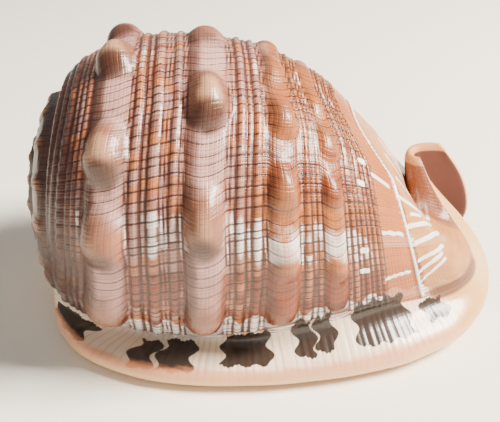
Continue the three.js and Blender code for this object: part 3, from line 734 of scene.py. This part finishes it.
# Then the painted shade in the grooves and the dark growth lines, with the white ridge and the pale bars over
# them
grooveLayers = [
    # painted shade in the grooves between the cords
    {"colour": "#43190F", "facts": {"crest": -1.0}, "low": -0.85, "high": -0.2, "share": 0.9},
    # growth lines
    {"colour": "#36150E",
     "facts": {"lines": 1.0, "clouds": 0.45, "front": -0.6, "smoothBand": -0.5, "bandness": -0.3,
               "knob": -0.4},
     "low": 0.52, "high": 0.98, "share": 0.88},
    # fine growth lines
    {"colour": "#4A221A",
     "facts": {"fineLines": 0.75, "clouds": 0.4, "strip": 0.25, "front": -0.35, "knob": -0.4},
     "low": 0.65, "high": 1.05, "share": 0.55},
    # white ridge
    {"colour": "#F9F3EE", "facts": {"thinRidge": 1.0}, "low": 0.3, "high": 0.7, "share": 0.95},
    # pale bars
    {"colour": "#F9F3EE", "facts": {"paleBar": 1.0}, "low": 0.3, "high": 0.7, "share": 0.95},
]
# Last the lip with its blotches, the shield, the mouth and the canal
rimLayers = [
    # cream lip
    {"colour": "#EED9C0", "facts": {"lip": 1.0}, "low": 0.3, "high": 0.7, "share": 1.0},
    # its faint ribs
    {"colour": "#DDB097", "facts": {"lip": 0.6, "ribs": 0.6, "clouds": 0.4}, "low": 1.0, "high": 1.4,
     "share": 0.6},
    # blotches
    {"colour": "#1E0F0B", "facts": {"blotch": 1.0, "clouds": 0.35, "lip": 0.2, "ribs": -0.07},
     "low": 0.55, "high": 0.8, "share": 0.97},
    # peach edge of the lip
    {"colour": "#E09468", "facts": {"lip": 1.0, "lipway": 1.0, "clouds": 0.25}, "low": 1.72, "high": 1.88,
     "share": 0.8},
    # its underside
    {"colour": "#EBBE86", "facts": {"lip": 1.0, "lipway": 1.0, "clouds": 0.25}, "low": 1.92, "high": 2.12,
     "share": 0.9},
    # front end of the lip
    {"colour": "#D99F52", "facts": {"lipFront": 1.0, "clouds": 0.5, "blotch": -1.0}, "low": 0.5, "high": 1.3,
     "share": 0.85},
    # painted shadow in the crease at the front of the lip
    {"colour": "#5E3222", "facts": {"creaseShadow": 1.0, "clouds": 0.3}, "low": 0.4, "high": 1.0, "share": 0.85},
    # shield
    {"colour": "#EFC394", "facts": {"shield": 1.0}, "low": 0.3, "high": 0.7, "share": 1.0},
    # clouds on it
    {"colour": "#D98A55", "facts": {"shield": 0.6, "clouds": 0.8}, "low": 0.95, "high": 1.3, "share": 0.6},
    # mouth
    {"colour": "#7A2F1A", "facts": {"mouth": 1.0, "teeth": -0.9}, "low": 0.35, "high": 0.8, "share": 0.9},
    # teeth and folds
    {"colour": "#F6E9DA", "facts": {"teeth": 1.0}, "low": 0.35, "high": 0.75, "share": 0.9},
    # outside of the canal
    {"colour": "#7A3D20", "facts": {"canalBack": 1.0, "clouds": 0.4}, "low": 0.5, "high": 1.0, "share": 0.85},
    # inside of the canal: its red-brown, darkened further as painted shade in the hollow
    {"colour": "#561309", "facts": {"canal": 1.0, "clouds": 0.3}, "low": 0.45, "high": 0.95, "share": 0.95},
    # rim of the canal
    {"colour": "#D9935A", "facts": {"canalRim": 1.0, "clouds": 0.2}, "low": 0.3, "high": 0.9, "share": 0.9},
]


def layOver(tree, facts, colour, layers):
    for layer in layers:
        total = 0.0
        for name, weight in layer["facts"].items():
            total = addNode(tree, "ShaderNodeMath", {0: facts[name], 1: weight, 2: total},
                            operation="MULTIPLY_ADD").outputs[0]
        share = addNode(tree, "ShaderNodeMapRange", {
            "Value": total, "From Min": layer["low"], "From Max": layer["high"], "To Max": layer["share"],
        }, interpolation_type="SMOOTHSTEP").outputs[0]
        colour = addNode(tree, "ShaderNodeMix", {
            "Factor": share, 6: colour, 7: linear(layer["colour"]),
        }, data_type="RGBA").outputs[2]
    return colour


# Random lines that cross the shell where it paused in growing, as 1 on a line and 0 between
def addLines(tree, way, spacing, thickness):
    count = addNode(tree, "ShaderNodeMath", {0: way, 1: spacing}, operation="DIVIDE").outputs[0]
    cells = addNode(tree, "ShaderNodeTexVoronoi", {"W": count, "Scale": 1.0, "Randomness": 0.75},
                    voronoi_dimensions="1D", feature="DISTANCE_TO_EDGE").outputs["Distance"]
    return addNode(tree, "ShaderNodeMapRange", {
        "Value": cells, "From Min": 0.0, "From Max": thickness / spacing, "To Min": 1.0, "To Max": 0.0,
    }, interpolation_type="SMOOTHSTEP").outputs[0]


# Natural shell, grown line by line from hard chalk: satin over the cords, where the growth lines break up
# the highlights, and smooth as glaze on the lip and the shield. Lengths are in the drawn shell's mm
shellPaint = {
    "ground": "#AF857B",
    "cloudsPerMm": 0.11,                        # clouds about 9 mm across
    "grainPerMm": 1.3,                          # grain of 0.8 mm, which makes the growth lines wander
    "wander": 0.5,                              # by this much
    "lineSpacing": 3.0, "lineWidth": 0.62,      # growth lines
    "fineSpacing": 1.15, "fineWidth": 0.3,      # fine growth lines between them
    "threadSpacing": 1.25, "threadWidth": 0.3,  # fine threads along the cords and bands
    "ribSpacing": 2.1, "ribWidth": 0.7,         # faint ribs on the lip
    "ribRoughness": 0.32, "lipRoughness": 0.28,
    "canalRoughness": 0.4,                      # added inside the canal, which is dull
    "lineDepth": 0.00012,                       # of all the lines, in metres
    "ribRelief": 0.45, "lipRelief": 0.1,        # how strongly they show
    "coat": 0.25, "coatRoughness": 0.12, "specular": 0.4,
}


def paintShell(shell):
    paint = shellPaint
    material = bpy.data.materials.new("glazedShell")
    material.use_nodes = True
    shell.data.materials.append(material)
    tree = material.node_tree
    surface = tree.nodes["Principled BSDF"]
    facts = {layer.name: addNode(tree, "ShaderNodeAttribute", attribute_name=layer.name).outputs["Fac"]
             for layer in shell.data.attributes if layer.data_type == "FLOAT"}

    # clouds and growth lines follow the shell's own growth and its spiral course, both in mm
    ways = addNode(tree, "ShaderNodeCombineXYZ", {"X": facts["growth"], "Y": facts["course"]}).outputs[0]
    facts["clouds"] = addNode(tree, "ShaderNodeTexNoise", {
        "Vector": ways, "Scale": paint["cloudsPerMm"], "Detail": 5.0, "Roughness": 0.62,
    }).outputs["Fac"]
    grain = addNode(tree, "ShaderNodeTexNoise", {
        "Vector": ways, "Scale": paint["grainPerMm"], "Detail": 2.0, "Roughness": 0.6,
    }).outputs["Fac"]
    growth = addNode(tree, "ShaderNodeMath", {0: grain, 1: paint["wander"], 2: facts["growth"]},
                     operation="MULTIPLY_ADD").outputs[0]
    facts["lines"] = addLines(tree, growth, paint["lineSpacing"], paint["lineWidth"])
    facts["fineLines"] = addLines(tree, growth, paint["fineSpacing"], paint["fineWidth"])
    threads = addLines(tree, facts["course"], paint["threadSpacing"], paint["threadWidth"])
    facts["ribs"] = addLines(tree, facts["along"], paint["ribSpacing"], paint["ribWidth"])

    # each bead of a cord has a shade of its own, and the bands have it only faintly
    bead = addNode(tree, "ShaderNodeMath", {0: facts["bead"]}, operation="FLOOR").outputs[0]
    cord = addNode(tree, "ShaderNodeMath", {0: facts["cordNumber"]}, operation="ROUND").outputs[0]
    cell = addNode(tree, "ShaderNodeCombineXYZ", {"X": bead, "Y": cord}).outputs[0]
    blocks = addNode(tree, "ShaderNodeTexWhiteNoise", {"Vector": cell},
                     noise_dimensions="2D").outputs["Value"]
    smear = addNode(tree, "ShaderNodeMath", {0: facts["bandness"], 1: 0.8}, operation="MULTIPLY").outputs[0]
    facts["blocks"] = addNode(tree, "ShaderNodeMix", {"Factor": smear, 2: blocks, 3: 0.5}).outputs[0]

    colour = linear(paint["ground"])
    for layers in (shellLayers, grooveLayers, rimLayers):
        colour = layOver(tree, facts, colour, layers)
    tree.links.new(colour, surface.inputs["Base Color"])

    glossy = addNode(tree, "ShaderNodeMath", {0: facts["lip"], 1: facts["shield"]},
                     operation="MAXIMUM").outputs[0]
    roughness = addNode(tree, "ShaderNodeMapRange", {
        "Value": glossy, "To Min": paint["ribRoughness"], "To Max": paint["lipRoughness"],
    }).outputs[0]
    roughness = addNode(tree, "ShaderNodeMath", {0: facts["canal"], 1: paint["canalRoughness"], 2: roughness},
                        operation="MULTIPLY_ADD").outputs[0]
    tree.links.new(roughness, surface.inputs["Roughness"])
    relief = addNode(tree, "ShaderNodeMath", {0: facts["lines"], 1: facts["fineLines"]},
                     operation="ADD").outputs[0]
    relief = addNode(tree, "ShaderNodeMath", {0: relief, 1: threads}, operation="ADD").outputs[0]
    relief = addNode(tree, "ShaderNodeMath", {0: relief, 1: -1.0}, operation="MULTIPLY").outputs[0]
    strength = addNode(tree, "ShaderNodeMapRange", {
        "Value": glossy, "To Min": paint["ribRelief"], "To Max": paint["lipRelief"],
    }).outputs[0]
    bump = addNode(tree, "ShaderNodeBump", {
        "Height": relief, "Strength": strength, "Distance": paint["lineDepth"],
    }).outputs[0]
    tree.links.new(bump, surface.inputs["Normal"])
    coat = addNode(tree, "ShaderNodeMapRange", {
        "Value": facts["canal"], "To Min": paint["coat"], "To Max": 0.0,
    }).outputs[0]
    tree.links.new(coat, surface.inputs["Coat Weight"])
    surface.inputs["Coat Roughness"].default_value = paint["coatRoughness"]
    surface.inputs["Specular IOR Level"].default_value = paint["specular"]


shell, moved = buildShell()
paintShell(shell)
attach(shell, "root")
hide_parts("helmet_shell")
print("shell painted")

stageSetup = {
    "floorSize": 6.0, "floorColour": "#F6F2E8", "floorRoughness": 0.8,
    "worldColour": "#F1EFE8", "worldStrength": 0.43,
    "keyPlace": (0.75, -0.08, 0.85), "keySize": 0.4, "keyPower": 66, "keyColour": "#FFF5E6",
    "fillPlace": (-0.1, -1.1, 0.5), "fillSize": 0.9, "fillPower": 2,
    "aim": (0, 0, 0.04),
}


# Board with matt paint: it takes a soft shadow and gives no highlight
def addFloor():
    bm = bmesh.new()
    bmesh.ops.create_grid(bm, x_segments=1, y_segments=1, size=stageSetup["floorSize"] / 2)
    mesh = bpy.data.meshes.new("floor")
    bm.to_mesh(mesh)
    bm.free()
    floor = bpy.data.objects.new("floor", mesh)
    bpy.context.scene.collection.objects.link(floor)
    paint = bpy.data.materials.new("paleMattPaint")
    paint.use_nodes = True
    surface = paint.node_tree.nodes["Principled BSDF"]
    surface.inputs["Base Color"].default_value = linear(stageSetup["floorColour"])
    surface.inputs["Roughness"].default_value = stageSetup["floorRoughness"]
    mesh.materials.append(paint)
    floor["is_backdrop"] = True


def addAreaLight(name, place, size, power, colour="#FFFFFF"):
    light = bpy.data.lights.new(name, "AREA")
    light.size = size
    light.energy = power
    light.color = linear(colour)[:3]
    lamp = bpy.data.objects.new(name, light)
    lamp.location = place
    lamp.rotation_euler = (Vector(stageSetup["aim"]) - Vector(place)).to_track_quat("-Z", "Y").to_euler()
    bpy.context.scene.collection.objects.link(lamp)


addFloor()
addAreaLight("key", stageSetup["keyPlace"], stageSetup["keySize"], stageSetup["keyPower"],
             stageSetup["keyColour"])
addAreaLight("fill", stageSetup["fillPlace"], stageSetup["fillSize"], stageSetup["fillPower"])
world = bpy.data.worlds.new("paleRoom")
world.use_nodes = True
world.node_tree.nodes["Background"].inputs["Color"].default_value = linear(stageSetup["worldColour"])
world.node_tree.nodes["Background"].inputs["Strength"].default_value = stageSetup["worldStrength"]
bpy.context.scene.world = world

# The photograph's view, in the drawn shell's millimetres
cameraSetup = {
    "elevation": 30, "distance": 270, "targetHeight": 40, "focalPixels": 729, "frameWidth": 500,
    "middleX": 5, "middleY": 12,    # pixels from the frame's middle, left and up, where the camera points
}


def addCamera():
    setup = cameraSetup
    data = bpy.data.cameras.new("photoCamera")
    data.sensor_width = 36
    data.lens = setup["focalPixels"] / setup["frameWidth"] * data.sensor_width
    data.shift_x = setup["middleX"] / setup["frameWidth"]
    data.shift_y = -setup["middleY"] / setup["frameWidth"]
    elevation = math.radians(setup["elevation"])
    target = Vector((0, 0, setup["targetHeight"])) * scale + moved
    back = Vector((0, -math.cos(elevation), math.sin(elevation))) * setup["distance"] * scale
    camera = bpy.data.objects.new("photoCamera", data)
    camera.location = target + back
    camera.rotation_euler = (-back).to_track_quat("-Z", "Y").to_euler()
    bpy.context.scene.collection.objects.link(camera)
    bpy.context.scene.camera = camera


addCamera()
print("stage and camera ready")
